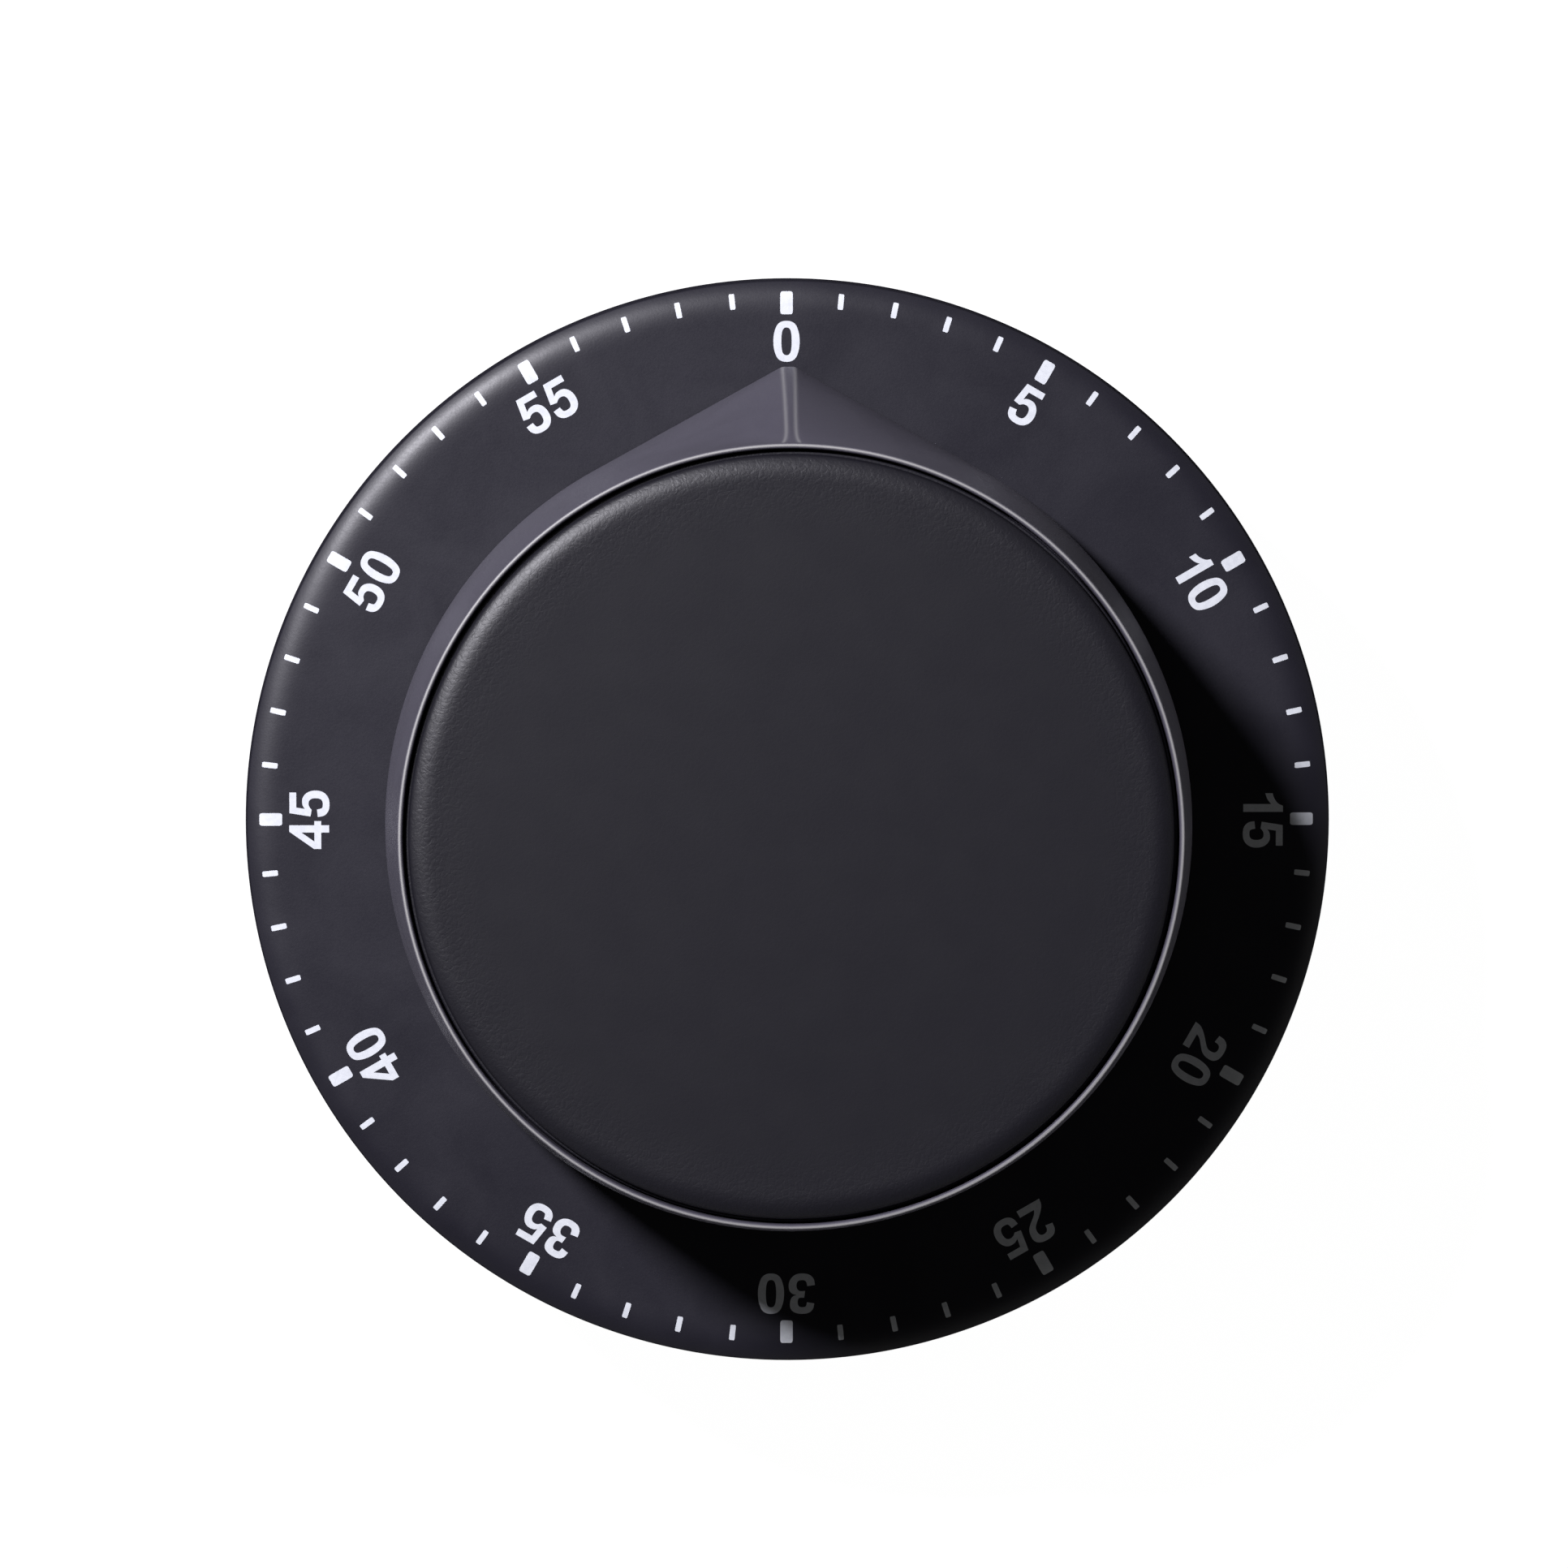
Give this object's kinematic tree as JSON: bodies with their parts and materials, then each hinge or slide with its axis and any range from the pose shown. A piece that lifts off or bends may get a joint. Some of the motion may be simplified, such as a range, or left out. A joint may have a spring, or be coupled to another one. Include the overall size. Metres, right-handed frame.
{
  "type": "mechanical kitchen timer",
  "caption": "Round black mechanical kitchen timer lying on its back: printed minute dial, large pointer knob with a grained cap, and a spring-driven clockwork movement that strikes a bell.",
  "frame": {"origin": "centre of the rubber foot ring's lower face, on the surface that the timer lies on", "axes": "+Z out of the dial along the knob's axis, +Y towards the 0 mark, +X towards the 15 mark"},
  "size_m": [0.078, 0.078, 0.0386],
  "materials": {
    "case_black": "fine satin texture",
    "cover_black": "satin",
    "knob_black": "satin",
    "cap_black": "fine leather grain",
    "foot_rubber": "matt",
    "magnet_nickel": "nickel plated",
    "screw_steel": "zinc plated",
    "felt": "pressed felt",
    "plate_brass": "stamped",
    "turned_steel": "turned",
    "pressed_steel": "pressed",
    "spring_steel": "hardened strip",
    "bell_nickel": "nickel plated",
    "wheel_brass": "stamped",
    "acetal": "natural acetal"
  },
  "bodies": {
    "case": {"dial_housing": "case_black", "back_cover": "cover_black", "rubber_ring": "foot_rubber", "magnets": "magnet_nickel", "cover_screws": "screw_steel", "felt_washer": "felt", "front_plate": "plate_brass", "back_plate": "plate_brass", "pillars": "turned_steel", "pillar_screws": "screw_steel", "movement_screws": "screw_steel", "stop_pin": "turned_steel", "mainspring": "spring_steel", "spring_post": "turned_steel", "bell": "bell_nickel", "bell_post": "turned_steel", "bell_screw": "screw_steel", "hammer_spring": "spring_steel"},
    "knob": {"knob_shell": "knob_black", "knob_cap": "cap_black", "knob_screw": "screw_steel", "main_arbor": "turned_steel", "great_wheel": "wheel_brass", "clutch_spring": "spring_steel", "release_cam": "wheel_brass", "stop_arm": "pressed_steel"},
    "second_arbor": {"second_wheel": "wheel_brass", "second_pinion": "turned_steel", "strike_star": "wheel_brass"},
    "third_arbor": {"third_wheel": "acetal", "third_pinion": "turned_steel"},
    "escape_arbor": {"escape_wheel": "acetal", "escape_pinion": "acetal"},
    "balance": {"balance_arbor": "turned_steel", "balance_lever": "pressed_steel", "pallet_pins": "turned_steel"},
    "hammer": {"hammer_arbor": "turned_steel", "hammer_arm": "pressed_steel", "hammer_head": "wheel_brass", "hammer_tail": "pressed_steel", "hammer_pallet": "pressed_steel"}
  },
  "joints": [
    {"name": "knob_turn", "type": "hinge", "parent": "case", "child": "knob", "pos_m": [0, 0, 0.021], "axis": [0, 0, -1], "range_deg": [0, 352]},
    {"name": "second_turn", "type": "hinge", "parent": "case", "child": "second_arbor", "pos_m": [-0.01644, -0.00599, 0.0135], "axis": [0, 0, 1], "range_deg": [0, 2112]},
    {"name": "third_turn", "type": "hinge", "parent": "case", "child": "third_arbor", "pos_m": [-0.01345, -0.01678, 0.0135], "axis": [0, 0, -1], "range_deg": [0, 14784]},
    {"name": "escape_turn", "type": "hinge", "parent": "case", "child": "escape_arbor", "pos_m": [-0.00464, -0.01843, 0.0135], "axis": [0, 0, 1], "range_deg": [0, 103488]},
    {"name": "balance_swing", "type": "hinge", "parent": "case", "child": "balance", "pos_m": [0.00194, -0.0189, 0.0135], "axis": [0, 0, 1], "range_deg": [-8, 8]},
    {"name": "hammer_swing", "type": "hinge", "parent": "case", "child": "hammer", "pos_m": [-0.01669, 0.00674, 0.0135], "axis": [0, 0, -1], "range_deg": [-6, 1.4], "stiffness_Nm_per_rad": 0.0005}
  ],
  "couplings": [
    {"joint": "second_turn", "follows": "knob_turn", "ratio": 6},
    {"joint": "third_turn", "follows": "knob_turn", "ratio": 42},
    {"joint": "escape_turn", "follows": "knob_turn", "ratio": 294}
  ]
}
